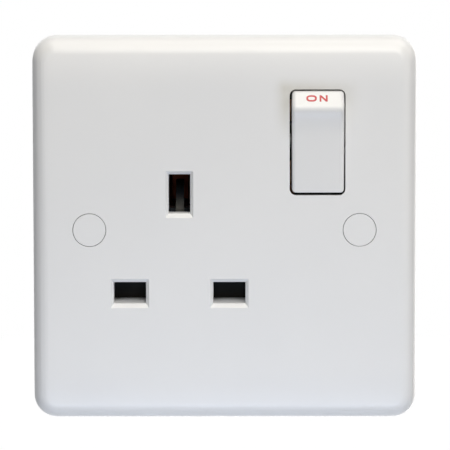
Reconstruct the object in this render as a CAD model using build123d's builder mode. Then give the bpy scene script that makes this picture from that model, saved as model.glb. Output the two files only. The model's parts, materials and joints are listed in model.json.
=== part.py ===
from build123d import *
import os
from math import asin, atan2, cos, degrees, hypot, radians, sin, tan

# Single switched wall socket for a three flat-pin plug, as its separate pieces, in millimetres.
# As seen from the room, +X is to the right and +Z is up, and +Y goes into the wall.
# The origin lies on the wall plane, midway between the two fixing screws.
# A name ending in _out is a distance out of the wall: positive towards the room, negative into the wall.

# Plug pins that the socket takes
pin_spacing = 22.23
line_pin_width = 6.35
line_pin_thickness = 3.97
line_pin_reach = 17.7
earth_pin_thickness = 3.97
earth_pin_height = 7.92
earth_pin_reach = 22.73

# Places on the face, from the plate's centre
socket_x = -10.05
line_z = -14.1
switch_x = 20.85
switch_z = 19.6
fixing_spacing = 60.3

# Face plate
plate_size = 86.0
plate_projection = 9.0
plate_corner_radius = 5.4
plate_edge_radius = 4.6
plate_draft = 2.5
plate_front_wall = 3.0
plate_side_wall = 2.2
boss_rib_thickness = 1.6
boss_rib_setback = 1.0

# Pin apertures and the guides behind them
pin_clearance = 0.7
pin_side_clearance = 0.85
aperture_lead_depth = 0.8
aperture_lead = 0.7
aperture_low_lead = 0.95
aperture_floor_drop = 0.16
aperture_floor_rise = 0.41
guide_depth = 4.8
guide_wall = 1.6

# Fixing screws and their caps
fixing_thread_radius = 1.75
fixing_shank_radius = 1.5
fixing_thread_length = 18.0
fixing_tip_chamfer = 0.5
fixing_thread_setback = 0.3
fixing_head_radius = 3.1
fixing_head_clearance = 0.15
fixing_boss_radius = 5.0
fixing_hole_clearance = 0.4
seat_clearance = 0.05
cap_radius = 3.63
cap_gap = 0.12
cap_thickness = 1.2
cap_skirt_depth = 1.2
cap_skirt_wall = 0.8
cap_headroom = 0.3
driver_slot_width = 0.9
driver_slot_depth = 0.8

# Switch opening and rocker
opening_width = 12.4
opening_height = 23.6
opening_corner_radius = 1.4
opening_lip = 0.4
collar_wall = 1.5
collar_gap = 0.3
opening_offset = -0.1
rocker_side_gap = 0.37
rocker_end_gap = 0.25
rocker_travel = 14.0
pivot_depth = 4.8
trunnion_radius = 1.5
trunnion_end_gap = 0.15
running_clearance = 0.06
rocker_peak_height = 2.9
rocker_peak_offset = 7.7
rocker_peak_radius = 1.9
rocker_brow_height = 0.3
rocker_toe_height = 0.45
rocker_toe_draft = 5.0
rocker_toe_radius = 0.3
rocker_face_slope = 3.0
rocker_knee_offset = 1.5
rocker_wall = 1.5
rocker_edge_radius = 0.9
rocker_corner_radius = 1.0
rocker_brow_skirt = 2.0
rocker_toe_skirt = -1.0
rocker_heel_depth = 2.0
rocker_heel_half = 3.2
rocker_hollow_depth = 8.0
tail_radius = 2.6
tail_length = 6.5

# Plunger and its spring
plunger_radius = 1.45
plunger_nose_radius = 1.2
plunger_nose_reach = 9.0
plunger_head_length = 3.0
plunger_seat = 3.0
plunger_spring_seat = -1.0
plunger_clearance = 0.05
plunger_wire_radius = 0.17
plunger_spring_pitch = 1.0
spring_end_gap = 0.05
spring_wire_sides = 4

# Contact lever and switch contacts
lever_nose_gap = 0.12
lever_width = 5.0
lever_thickness = 0.8
lever_upper_arm = 8.3
lever_lower_arm = 6.5
lever_corner_radius = 1.0
lever_knuckle_radius = 0.7
lever_stand = 0.38
moving_tip_offset = 6.4
moving_tip_radius = 1.6
moving_tip_height = 0.7
contact_air_gap = 0.1
fixed_tip_sphere = 3.0
fixed_tip_height = 0.8
fixed_contact_height = 5.5
fixed_contact_overhang = 2.75
fixed_tab_reach = 3.0
ear_spacing = 3.2
ear_thickness = 0.9
ear_height = 3.0
lever_bearing_clearance = 0.05

# Pin clips and links, folded from strip
clip_thickness = 0.8
clip_setback = 1.6
clip_throat = 2.6
clip_flare = 1.0
clip_squeeze = 0.2
clip_shoulder = 0.7
clip_bend_radius = 0.8
clip_waist_radius = 2.0
line_clip_width = 6.0
earth_clip_width = 7.0
pin_end_gap = 0.3
link_thickness = 0.9
link_bend_radius = 0.8
line_link_width = 4.0
live_link_width = 5.0
earth_link_width = 6.0

# Terminal blocks and their screws
terminal_row_x = -6.5
terminal_pitch = 14.0
terminal_low_z = 24.5
terminal_width = 7.5
terminal_height = 8.0
terminal_depth = 8.0
terminal_front_out = -5.0
terminal_edge_radius = 0.5
terminal_bore_radius = 2.3
terminal_bore_depth = 3.2
terminal_screw_radius = 2.0
terminal_screw_head_radius = 3.0
terminal_screw_head_height = 2.0
terminal_screw_head_gap = 1.2
terminal_screw_tip_gap = 0.2
link_tab_setback = 1.0
thread_clearance = 0.05

# Shutter and its spring
shutter_thickness = 1.6
shutter_clearance = 0.3
shutter_overlap = 1.0
shutter_margin = 0.5
shutter_end_overlap = 1.2
shutter_stem_width = 6.0
shutter_stem_top = 4.0
ramp_rib_width = 1.8
ramp_rib_low_z = 1.2
ramp_lead = 0.9
ramp_pin_gap = 0.2
rail_width = 1.2
rail_length = 9.0
rail_z = -4.5
spring_lug_width = 5.2
spring_lug_height = 2.7
spring_lug_depth = 3.8
spring_axis_depth = 2.3
spring_mean_radius = 1.55
spring_wire_radius = 0.2
spring_pitch = 1.8
spring_length = 10.0
spring_peg_radius = 1.0
spring_peg_length = 1.5
spring_seat_width = 6.0
spring_seat_thickness = 1.2

# Rear base and its screws
base_wall = 1.8
base_floor = 1.8
base_corner_radius = 2.0
base_rear_chamfer = 1.0
base_lower_right = 21.5
base_switch_left = 12.0
base_side_margin = 1.0
cell_clearance = 0.3
channel_clearance = 0.1
switch_cell_width = 8.8
switch_cell_drop = 8.2
wire_notch_width = 5.4
wire_notch_floor = 0.5
post_radius = 2.6
base_screw_points = [(-14.9, 19.0), (4.0, 16.0), (16.0, -21.0), (-22.0, -27.0)]
base_screw_radius = 1.4
base_screw_head_radius = 2.2
base_screw_head_height = 1.6
base_screw_seat_depth = 5.5
base_screw_bite = 4.5
screw_well_clearance = 0.2
screw_hole_clearance = 0.2
bearing_post_gap = 0.1

# Depth stack, from the room to the back of the base
front_out = plate_projection
wall_back_out = front_out - plate_front_wall
root_out = wall_back_out + plate_front_wall / 2
guide_back_out = wall_back_out - guide_depth
shutter_front_out = guide_back_out - shutter_clearance
shutter_back_out = shutter_front_out - shutter_thickness
base_front_out = shutter_back_out - shutter_clearance
collar_back_out = base_front_out + collar_gap
lip_back_out = front_out - opening_lip
pivot_out = front_out - pivot_depth
clip_mouth_out = base_front_out - clip_setback
line_link_front_out = front_out - line_pin_reach - pin_end_gap - clip_thickness
line_link_back_out = line_link_front_out - link_thickness
earth_link_front_out = front_out - earth_pin_reach - pin_end_gap - clip_thickness
earth_link_back_out = earth_link_front_out - link_thickness
base_rear_out = earth_link_back_out - base_floor
base_step_out = line_link_back_out - base_floor
lever_face_out = pivot_out - plunger_nose_reach - plunger_nose_radius - lever_nose_gap
fulcrum_out = lever_face_out - lever_thickness - lever_stand

# Places derived from the driving dimensions
earth_z = line_z + pin_spacing
neutral_x = socket_x - pin_spacing / 2
live_x = socket_x + pin_spacing / 2
line_points = [(neutral_x, line_z), (live_x, line_z)]
earth_point = (socket_x, earth_z)
fixing_points = [(-fixing_spacing / 2, 0), (fixing_spacing / 2, 0)]
switch_point = (switch_x, switch_z)
opening_point = (switch_x + opening_offset, switch_z)
line_aperture_width = line_pin_width + pin_side_clearance
line_aperture_height = line_pin_thickness + pin_clearance
earth_aperture_width = earth_pin_thickness + pin_side_clearance
earth_aperture_height = earth_pin_height + pin_clearance
apertures = [
    (neutral_x, line_z, line_aperture_width, line_aperture_height),
    (live_x, line_z, line_aperture_width, line_aperture_height),
    (socket_x, earth_z, earth_aperture_width, earth_aperture_height),
]
half_travel = radians(rocker_travel / 2)

# Fixing heads and cap recesses
recess_radius = cap_radius + cap_gap
ledge_out = front_out - cap_thickness - cap_skirt_depth
head_pocket_radius = fixing_head_radius + fixing_head_clearance
head_edge_out = ledge_out - cap_headroom
fixing_hole_radius = fixing_shank_radius + fixing_hole_clearance
countersink_radius = fixing_head_radius + seat_clearance

# Rocker reach and the collar that clears it
rocker_width = opening_width - 2 * rocker_side_gap
rocker_reach = hypot(opening_height / 2 - rocker_end_gap, pivot_depth - opening_lip)
relief_height = 2 * (rocker_reach + rocker_end_gap)
collar_width = opening_width + 2 * collar_wall
collar_height = relief_height + 2 * collar_wall
bearing_radius = trunnion_radius + running_clearance

# Terminal row
terminal_z = terminal_low_z + terminal_height / 2
terminal_top_z = terminal_low_z + terminal_height
terminal_back_out = terminal_front_out - terminal_depth
terminal_bore_out = terminal_front_out - terminal_bore_depth
neutral_terminal_x = terminal_row_x - terminal_pitch
live_terminal_x = terminal_row_x + terminal_pitch
terminal_xs = [neutral_terminal_x, terminal_row_x, live_terminal_x]
terminal_points = [(x, terminal_z) for x in terminal_xs]
link_tab_out = terminal_front_out - link_tab_setback
earth_link_x = (socket_x + terminal_row_x) / 2
earth_link_low_z = earth_z - earth_clip_width / 2
neutral_link_low_z = line_z - line_clip_width / 2

# Shutter travel and ramp
shutter_travel = line_aperture_height + shutter_overlap + shutter_margin
shutter_bar_height = line_aperture_height + 2 * shutter_overlap
shutter_bar_width = pin_spacing + line_aperture_width + 2 * shutter_end_overlap
shutter_bar_low_z = line_z - shutter_bar_height / 2
ramp_high_z = earth_z - earth_pin_height / 2 - ramp_pin_gap + shutter_travel
ramp_low_z = ramp_high_z - shutter_travel
ramp_front_out = guide_back_out + ramp_lead
ramp_back_out = ramp_front_out - shutter_travel
spring_axis_out = base_front_out + spring_axis_depth
spring_seat_z = shutter_bar_low_z - spring_length

# Contact places in the switch cell: the lever leans back to its fixed contact
tip_setback = moving_tip_height - lever_stand
tip_y = -fulcrum_out + moving_tip_offset * sin(half_travel) + tip_setback * cos(half_travel)
tip_z = switch_z + moving_tip_offset * cos(half_travel) - tip_setback * sin(half_travel)
fixed_tip_y = tip_y + (fixed_tip_sphere + contact_air_gap) * cos(half_travel)
fixed_tip_z = tip_z - (fixed_tip_sphere + contact_air_gap) * sin(half_travel)
fixed_contact_front_out = -(fixed_tip_y - fixed_tip_sphere + fixed_tip_height)
fixed_contact_back_out = fixed_contact_front_out - link_thickness
fixed_contact_left = live_terminal_x + terminal_width / 2
fixed_contact_right = switch_x + fixed_contact_overhang
fixed_tab_back_out = fixed_contact_front_out - fixed_tab_reach


def facing_plane(out):
    """Plane parallel to the wall, at a distance out of it, as seen from the room."""
    return Plane.XZ.offset(out)


def side_plane(x, out=0.0, z=0.0):
    """Upright plane square to the wall: its first axis points out of the wall and its second up."""
    return Plane(origin=(x, -out, z), x_dir=(0, -1, 0), z_dir=(-1, 0, 0))


def upward_plane(x, out, z):
    """Level plane, facing up."""
    return Plane(origin=(x, -out, z), x_dir=(1, 0, 0), z_dir=(0, 0, 1))


# Tilted planes of the switch at rest, with its lower end pressed in
rocker_plane = side_plane(switch_x, pivot_out, switch_z)
tail_plane = Plane(
    origin=(switch_x, -pivot_out, switch_z),
    x_dir=(1, 0, 0),
    z_dir=(0, cos(half_travel), sin(half_travel)),
)
lever_plane = Plane(
    origin=(switch_x, -fulcrum_out, switch_z),
    x_dir=(0, -cos(half_travel), sin(half_travel)),
    z_dir=(-1, 0, 0),
)

# Face plate
with BuildPart() as front_plate:
    with BuildSketch(facing_plane(0)):
        RectangleRounded(plate_size, plate_size, plate_corner_radius)
    extrude(amount=plate_projection, taper=plate_draft)
    fillet(front_plate.edges().group_by(Axis.Y)[0], radius=plate_edge_radius)
    with BuildSketch(facing_plane(0)):
        hollow_size = plate_size - 2 * plate_side_wall
        RectangleRounded(hollow_size, hollow_size, plate_corner_radius - plate_side_wall)
    extrude(amount=wall_back_out, taper=plate_draft, mode=Mode.SUBTRACT)

    # Fixing bosses down to the wall, with a rib from each to the rim
    with BuildSketch(facing_plane(0)):
        with Locations(*fixing_points):
            Circle(fixing_boss_radius)
    extrude(amount=root_out)
    with BuildSketch(facing_plane(boss_rib_setback)):
        with Locations((-(fixing_spacing + hollow_size) / 4, 0), ((fixing_spacing + hollow_size) / 4, 0)):
            Rectangle((hollow_size - fixing_spacing) / 2, boss_rib_thickness)
    extrude(amount=root_out - boss_rib_setback)

    # Posts for the base screws
    with BuildSketch(facing_plane(base_front_out)):
        with Locations(*base_screw_points):
            Circle(post_radius)
    extrude(amount=root_out - base_front_out)

    # Guides behind the pin apertures: the earth one is open below, for the shutter's ramp
    with BuildSketch(facing_plane(guide_back_out)):
        with Locations(*line_points):
            Rectangle(line_aperture_width + 2 * guide_wall, line_aperture_height + 2 * guide_wall)
        with Locations((socket_x, earth_z + (guide_wall + shutter_clearance) / 2)):
            earth_guide_height = earth_aperture_height + guide_wall - shutter_clearance
            Rectangle(earth_aperture_width + 2 * guide_wall, earth_guide_height)
    extrude(amount=root_out - guide_back_out)

    # Collar round the switch opening
    with BuildSketch(facing_plane(collar_back_out)):
        with Locations(switch_point):
            Rectangle(collar_width, collar_height)
    extrude(amount=root_out - collar_back_out)

    # Rails beside the shutter's stem, and the seat of its spring
    with BuildSketch(facing_plane(collar_back_out)):
        rail_x = shutter_stem_width / 2 + shutter_clearance + rail_width / 2
        with Locations((socket_x - rail_x, rail_z), (socket_x + rail_x, rail_z)):
            Rectangle(rail_width, rail_length)
        with Locations((socket_x, spring_seat_z - spring_seat_thickness / 2)):
            Rectangle(spring_seat_width, spring_seat_thickness)
    extrude(amount=root_out - collar_back_out)
    with BuildSketch(upward_plane(socket_x, spring_axis_out, spring_seat_z)):
        Circle(spring_peg_radius)
    extrude(amount=spring_peg_length)

    # Pin apertures: a lead that is wider below, then a guide whose floor rises inwards
    for x, z, width, height in apertures:
        mouth_width = width + 2 * aperture_lead
        throat_low = z - height / 2 - aperture_floor_drop
        mouth_low = throat_low - aperture_low_lead
        guide_low = throat_low + aperture_floor_rise
        top = z + height / 2
        with BuildSketch(facing_plane(front_out)):
            with Locations((x, (top + aperture_lead + mouth_low) / 2)):
                Rectangle(mouth_width, top + aperture_lead - mouth_low)
        with BuildSketch(facing_plane(front_out - aperture_lead_depth)):
            with Locations((x, (top + throat_low) / 2)):
                Rectangle(width, top - throat_low)
        with BuildSketch(facing_plane(guide_back_out)):
            with Locations((x, (top + guide_low) / 2)):
                Rectangle(width, top - guide_low)
        loft(ruled=True, mode=Mode.SUBTRACT)

    # Switch opening, relieved behind its lip, and the bearings of the rocker
    with BuildSketch(facing_plane(collar_back_out)):
        with Locations(opening_point):
            Rectangle(opening_width, relief_height)
    extrude(amount=lip_back_out - collar_back_out, mode=Mode.SUBTRACT)
    with BuildSketch(facing_plane(front_out)):
        with Locations(opening_point):
            RectangleRounded(opening_width, opening_height, opening_corner_radius)
    extrude(amount=-opening_lip, mode=Mode.SUBTRACT)
    with BuildSketch(rocker_plane):
        Circle(bearing_radius)
        with Locations(((collar_back_out - pivot_out) / 2, 0)):
            Rectangle(pivot_out - collar_back_out, 2 * bearing_radius)
    extrude(amount=collar_width / 2, both=True, mode=Mode.SUBTRACT)

    # Cap recesses, head pockets, countersinks and holes of the fixings
    with BuildSketch(facing_plane(front_out)):
        with Locations(*fixing_points):
            Circle(recess_radius)
    extrude(amount=ledge_out - front_out, mode=Mode.SUBTRACT)
    with BuildSketch(facing_plane(ledge_out)):
        with Locations(*fixing_points):
            Circle(head_pocket_radius)
    extrude(amount=head_edge_out - ledge_out, mode=Mode.SUBTRACT)
    with BuildSketch(facing_plane(head_edge_out)):
        with Locations(*fixing_points):
            Circle(countersink_radius)
    extrude(amount=fixing_hole_radius - countersink_radius, taper=45, mode=Mode.SUBTRACT)
    with BuildSketch(facing_plane(head_edge_out)):
        with Locations(*fixing_points):
            Circle(fixing_hole_radius)
    extrude(amount=-head_edge_out, mode=Mode.SUBTRACT)

    # Pilot holes in the posts
    with BuildSketch(facing_plane(base_front_out)):
        with Locations(*base_screw_points):
            Circle(base_screw_radius + thread_clearance)
    extrude(amount=base_screw_bite + thread_clearance, mode=Mode.SUBTRACT)


def screw_cap(label, point):
    """Plain flush cap whose skirt stands on the ledge of its recess."""
    with BuildPart() as cap:
        with BuildSketch(facing_plane(ledge_out)):
            with Locations(point):
                Circle(cap_radius)
        extrude(amount=front_out - ledge_out)
        with BuildSketch(facing_plane(ledge_out)):
            with Locations(point):
                Circle(cap_radius - cap_skirt_wall)
        extrude(amount=cap_skirt_depth, mode=Mode.SUBTRACT)
    cap.part.label = label
    return cap.part


# Fixing screws: countersunk heads, and threads that stand clear behind the plate
with BuildPart() as fixing_screws:
    for fixing_x, fixing_z in fixing_points:
        with BuildSketch(side_plane(fixing_x, 0, fixing_z)):
            with BuildLine():
                thread_end_out = -fixing_thread_setback - fixing_thread_length
                shank_out = head_edge_out - fixing_head_radius + fixing_shank_radius
                Polyline(
                    (head_edge_out, 0),
                    (head_edge_out, fixing_head_radius),
                    (shank_out, fixing_shank_radius),
                    (-fixing_thread_setback, fixing_shank_radius),
                    (-fixing_thread_setback, fixing_thread_radius),
                    (thread_end_out + fixing_tip_chamfer, fixing_thread_radius),
                    (thread_end_out, fixing_thread_radius - fixing_tip_chamfer),
                    (thread_end_out, 0),
                    close=True,
                )
            make_face()
        revolve(axis=Axis((fixing_x, 0, fixing_z), (0, 1, 0)))
    with BuildSketch(facing_plane(head_edge_out)):
        with Locations(*fixing_points):
            Rectangle(2 * fixing_head_radius, driver_slot_width)
    extrude(amount=-driver_slot_depth, mode=Mode.SUBTRACT)


def on_reach(angle):
    """Point of the arc that the rocker's ends keep within, at an angle out from its length."""
    return (rocker_reach * sin(angle), rocker_reach * cos(angle))


def rocker_outline(brow_skirt, toe_skirt, heel_depth, heel_half):
    """Side outline of the rocker about its pivot: face, facet, round brow, drafted toe, skirts and heel."""
    brow_angle = asin((pivot_depth + rocker_brow_height) / rocker_reach)
    skirt_angle = asin(brow_skirt / rocker_reach)
    toe_out, toe_drop = on_reach(asin((pivot_depth + rocker_toe_height) / rocker_reach))
    toe_skirt_drop = toe_drop + (toe_out - toe_skirt) * tan(radians(rocker_toe_draft))
    knee_out = toe_out + (toe_drop + rocker_knee_offset) * tan(radians(rocker_face_slope))
    peak = (pivot_depth + rocker_peak_height, rocker_peak_offset)
    with BuildSketch(rocker_plane) as outline:
        with BuildLine():
            lower_face = Line((toe_out, -toe_drop), (knee_out, rocker_knee_offset))
            TangentArc((knee_out, rocker_knee_offset), peak, tangent=lower_face % 1)
            Line(peak, on_reach(brow_angle))
            skirt_mid = on_reach((brow_angle + skirt_angle) / 2)
            ThreePointArc(on_reach(brow_angle), skirt_mid, on_reach(skirt_angle))
            Polyline(
                on_reach(skirt_angle),
                (-heel_depth, heel_half),
                (-heel_depth, -heel_half),
                (toe_skirt, -toe_skirt_drop),
                (toe_out, -toe_drop),
            )
        make_face()
        fillet(outline.vertices().sort_by(Axis.X)[-1], radius=rocker_peak_radius)
        brow_corner = outline.vertices().sort_by_distance(on_reach(brow_angle))[0]
        fillet(brow_corner, radius=rocker_corner_radius)
    return outline.sketch


# Rocker: a hollow shell on two trunnions, with a tail that holds the plunger
with BuildPart() as rocker:
    extrude(
        rocker_outline(rocker_brow_skirt, rocker_toe_skirt, rocker_heel_depth, rocker_heel_half),
        amount=rocker_width / 2,
        both=True,
    )
    side_edges = rocker.faces().filter_by(Axis.X).edges()
    fillet(side_edges.filter_by(lambda edge: edge.center().Y < -pivot_out - 1), radius=rocker_edge_radius)
    toe_middle = (switch_x, -front_out - rocker_toe_height, switch_z - opening_height / 2)
    fillet(rocker.edges().filter_by(Axis.X).sort_by_distance(toe_middle)[0], radius=rocker_toe_radius)
    hollow = offset(
        rocker_outline(0, 0, rocker_hollow_depth, rocker_reach),
        amount=-rocker_wall,
        mode=Mode.PRIVATE,
    )
    extrude(hollow, amount=rocker_width / 2 - rocker_wall, both=True, mode=Mode.SUBTRACT)
    face_at_pivot = pivot_depth + rocker_toe_height + opening_height / 2 * tan(radians(rocker_face_slope))
    with BuildSketch(tail_plane.offset(tail_length)):
        Circle(tail_radius)
    extrude(amount=rocker_wall / 2 - tail_length - face_at_pivot)
    with BuildSketch(tail_plane.offset(tail_length)):
        Circle(plunger_radius + plunger_clearance)
    extrude(amount=plunger_spring_seat - tail_length, mode=Mode.SUBTRACT)
    for side in (-1, 1):
        stub_x = switch_x + side * (rocker_width / 2 - rocker_wall / 2)
        stub_length = (collar_width - rocker_width + rocker_wall) / 2 - trunnion_end_gap
        with BuildSketch(Plane(origin=(stub_x, -pivot_out, switch_z), x_dir=(0, 0, 1), z_dir=(side, 0, 0))):
            Circle(trunnion_radius)
        extrude(amount=stub_length)

# Plunger: a round-nosed pin in the tail
with BuildPart() as plunger:
    with BuildSketch(tail_plane.offset(plunger_seat)):
        Circle(plunger_radius)
    extrude(amount=plunger_head_length)
    with BuildSketch(tail_plane.offset(plunger_seat)):
        Circle(plunger_nose_radius)
    extrude(amount=plunger_nose_reach - plunger_seat)
    with Locations(tail_plane.offset(plunger_nose_reach)):
        Sphere(plunger_nose_radius)


def coil_spring(label, plane, length, mean_radius, wire_radius, pitch):
    """Open coil spring that stands on a plane, with a small gap at each end."""
    end_gap = wire_radius + spring_end_gap
    with BuildPart() as spring:
        with BuildLine():
            foot = plane.offset(end_gap).origin
            coil = Helix(pitch, length - 2 * end_gap, mean_radius, center=foot, direction=plane.z_dir)
        with BuildSketch(Plane(origin=coil @ 0, z_dir=coil % 0)):
            RegularPolygon(wire_radius, spring_wire_sides)
        sweep(path=coil, is_frenet=True)
    spring.part.label = label
    return spring.part


# Contact lever: a plate that rocks on its knuckle, with the moving contact behind its upper arm
with BuildPart() as contact_lever:
    with BuildSketch(lever_plane):
        with Locations((lever_stand + lever_thickness / 2, (lever_upper_arm - lever_lower_arm) / 2)):
            Rectangle(lever_thickness, lever_upper_arm + lever_lower_arm)
    extrude(amount=lever_width / 2, both=True)
    lever_corners = contact_lever.edges().filter_by(GeomType.LINE).group_by(SortBy.LENGTH)[0]
    fillet(lever_corners, radius=lever_corner_radius)
    with BuildSketch(lever_plane):
        Circle(lever_knuckle_radius)
    extrude(amount=lever_width / 2, both=True)

with BuildPart() as moving_contact_tip:
    tip_plane = Plane(
        origin=lever_plane.from_local_coords(Vector(lever_stand, moving_tip_offset, 0)),
        x_dir=(1, 0, 0),
        z_dir=(0, cos(half_travel), -sin(half_travel)),
    )
    with BuildSketch(tip_plane):
        Circle(moving_tip_radius)
    extrude(amount=moving_tip_height)

# Fixed contact: an arm behind the lever's upper end, folded back along the live terminal
with BuildPart() as fixed_contact:
    with BuildSketch(upward_plane(0, 0, fixed_tip_z - fixed_contact_height / 2)):
        with BuildLine():
            arm_y = link_thickness / 2 - fixed_contact_front_out
            FilletPolyline(
                (fixed_contact_right, arm_y),
                (fixed_contact_left + link_thickness / 2, arm_y),
                (fixed_contact_left + link_thickness / 2, -fixed_tab_back_out),
                radius=link_bend_radius,
            )
        trace(line_width=link_thickness)
    extrude(amount=fixed_contact_height)

with BuildPart() as fixed_contact_tip:
    with BuildSketch(facing_plane(fixed_contact_front_out)):
        with Locations((switch_x, fixed_tip_z)):
            Circle(fixed_tip_sphere)
    extrude(amount=fixed_tip_height)
    with Locations((switch_x, fixed_tip_y, fixed_tip_z)):
        Sphere(fixed_tip_sphere, mode=Mode.INTERSECT)


def pin_clip(label, plane, pin_thickness, web_out, width):
    """Sprung clip folded from strip: a flared mouth, pinched leaves and a web behind the pin's end."""
    mouth = pin_thickness / 2 + clip_flare
    waist = pin_thickness / 2 - clip_squeeze + clip_thickness / 2
    shoulder = pin_thickness / 2 + clip_shoulder
    waist_out = clip_mouth_out - clip_throat
    with BuildPart() as clip:
        with BuildSketch(plane):
            with BuildLine():
                FilletPolyline(
                    (clip_mouth_out, mouth),
                    (waist_out, waist),
                    (web_out, shoulder),
                    (web_out, -shoulder),
                    (waist_out, -waist),
                    (clip_mouth_out, -mouth),
                    radius=[clip_waist_radius, clip_bend_radius, clip_bend_radius, clip_waist_radius],
                )
            trace(line_width=clip_thickness)
        extrude(amount=width / 2, both=True)
    clip.part.label = label
    return clip.part


def terminal_link(label, x, width, strip_front_out, low_z):
    """Strip from a clip up to its terminal block, with its end folded forward under the block."""
    strip_out = strip_front_out - link_thickness / 2
    fold_z = terminal_low_z - link_thickness / 2
    with BuildPart() as link:
        with BuildSketch(side_plane(x)):
            with BuildLine():
                FilletPolyline(
                    (strip_out, low_z),
                    (strip_out, fold_z),
                    (link_tab_out, fold_z),
                    radius=link_bend_radius,
                )
            trace(line_width=link_thickness)
        extrude(amount=width / 2, both=True)
    link.part.label = label
    return link.part


# Live link: a strip from the live clip to the switch, with two ears that cradle the lever's knuckle
live_link_run = hypot(switch_x - live_x, switch_z - line_z)
live_link_angle = degrees(atan2(switch_z - line_z, switch_x - live_x))
live_link_point = ((live_x + switch_x) / 2, (line_z + switch_z) / 2)
with BuildPart() as live_link:
    with BuildSketch(facing_plane(line_link_back_out)):
        with Locations(live_link_point):
            SlotCenterToCenter(live_link_run, live_link_width, rotation=live_link_angle)
    extrude(amount=link_thickness)
    with BuildSketch(facing_plane(line_link_front_out)):
        with Locations((switch_x - ear_spacing / 2, switch_z), (switch_x + ear_spacing / 2, switch_z)):
            Rectangle(ear_thickness, ear_height)
    extrude(amount=fulcrum_out - line_link_front_out)
    with BuildSketch(side_plane(switch_x, fulcrum_out, switch_z)):
        Circle(lever_knuckle_radius + lever_bearing_clearance)
    extrude(amount=live_link_width / 2, both=True, mode=Mode.SUBTRACT)


def terminal_block(label, point):
    """Brass block with a wire bore up through it and a tapped hole from behind."""
    with BuildPart() as block:
        with BuildSketch(facing_plane(terminal_back_out)):
            with Locations(point):
                RectangleRounded(terminal_width, terminal_height, terminal_edge_radius)
        extrude(amount=terminal_depth)
        with BuildSketch(upward_plane(point[0], terminal_bore_out, terminal_low_z)):
            Circle(terminal_bore_radius)
        extrude(amount=terminal_height, mode=Mode.SUBTRACT)
        with BuildSketch(facing_plane(terminal_back_out)):
            with Locations(point):
                Circle(terminal_screw_radius + thread_clearance)
        extrude(amount=terminal_bore_out - terminal_back_out, mode=Mode.SUBTRACT)
    block.part.label = label
    return block.part


# Terminal screws, backed out of the wire bores
with BuildPart() as terminal_screws:
    screw_tip_out = terminal_bore_out - terminal_bore_radius - terminal_screw_tip_gap
    screw_head_out = terminal_back_out - terminal_screw_head_gap
    screw_top_out = screw_head_out - terminal_screw_head_height
    with BuildSketch(facing_plane(screw_head_out)):
        with Locations(*terminal_points):
            Circle(terminal_screw_radius)
    extrude(amount=screw_tip_out - screw_head_out)
    with BuildSketch(facing_plane(screw_top_out)):
        with Locations(*terminal_points):
            Circle(terminal_screw_head_radius)
    extrude(amount=terminal_screw_head_height)
    with BuildSketch(facing_plane(screw_top_out)):
        with Locations(*terminal_points):
            Rectangle(2 * terminal_screw_head_radius, driver_slot_width)
    extrude(amount=driver_slot_depth, mode=Mode.SUBTRACT)

# Shutter: a bar across both line apertures, a stem, and a ramp that the earth pin drives down
with BuildPart() as shutter:
    with BuildSketch(facing_plane(shutter_back_out)):
        with Locations((socket_x, line_z)):
            Rectangle(shutter_bar_width, shutter_bar_height)
        with Locations((socket_x, (line_z + shutter_stem_top) / 2)):
            Rectangle(shutter_stem_width, shutter_stem_top - line_z)
    extrude(amount=shutter_thickness)
    with BuildSketch(side_plane(socket_x)):
        with BuildLine():
            Polyline(
                (ramp_front_out, ramp_rib_low_z),
                (ramp_front_out, ramp_low_z),
                (ramp_back_out, ramp_high_z),
                (ramp_back_out, ramp_rib_low_z),
                close=True,
            )
        make_face()
    extrude(amount=ramp_rib_width / 2, both=True)
    with BuildSketch(facing_plane(shutter_back_out)):
        with Locations((socket_x, shutter_bar_low_z + spring_lug_height / 2)):
            Rectangle(spring_lug_width, spring_lug_height)
    extrude(amount=spring_lug_depth)
    with BuildSketch(upward_plane(socket_x, spring_axis_out, shutter_bar_low_z)):
        Circle(spring_peg_radius)
    extrude(amount=-spring_peg_length)

# Rear base: a moulded block with cells for the working parts
base_left = neutral_terminal_x - terminal_width / 2 - base_wall
base_right = switch_x + collar_width / 2 + base_side_margin
base_top = terminal_top_z + base_wall
base_bottom = base_screw_points[-1][1] - post_radius - base_side_margin
base_switch_low = switch_z - collar_height / 2 - base_side_margin / 2
housing_right = fixed_contact_left + link_thickness + link_bend_radius + base_wall
line_cell_width = line_clip_width + 2 * cell_clearance
line_cell_height = line_pin_thickness + 2 * (clip_flare + clip_thickness)
earth_cell_width = earth_pin_thickness + 2 * (clip_flare + clip_thickness)
earth_cell_height = earth_clip_width + 2 * cell_clearance
housing_low = earth_z - earth_cell_height / 2 - base_wall
switch_cell_top = fixed_tip_z + fixed_contact_height / 2 + channel_clearance
switch_cell_low = switch_z - switch_cell_drop
fixed_channel_height = fixed_contact_height + 2 * channel_clearance
fixed_channel_right = fixed_contact_right + channel_clearance
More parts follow.
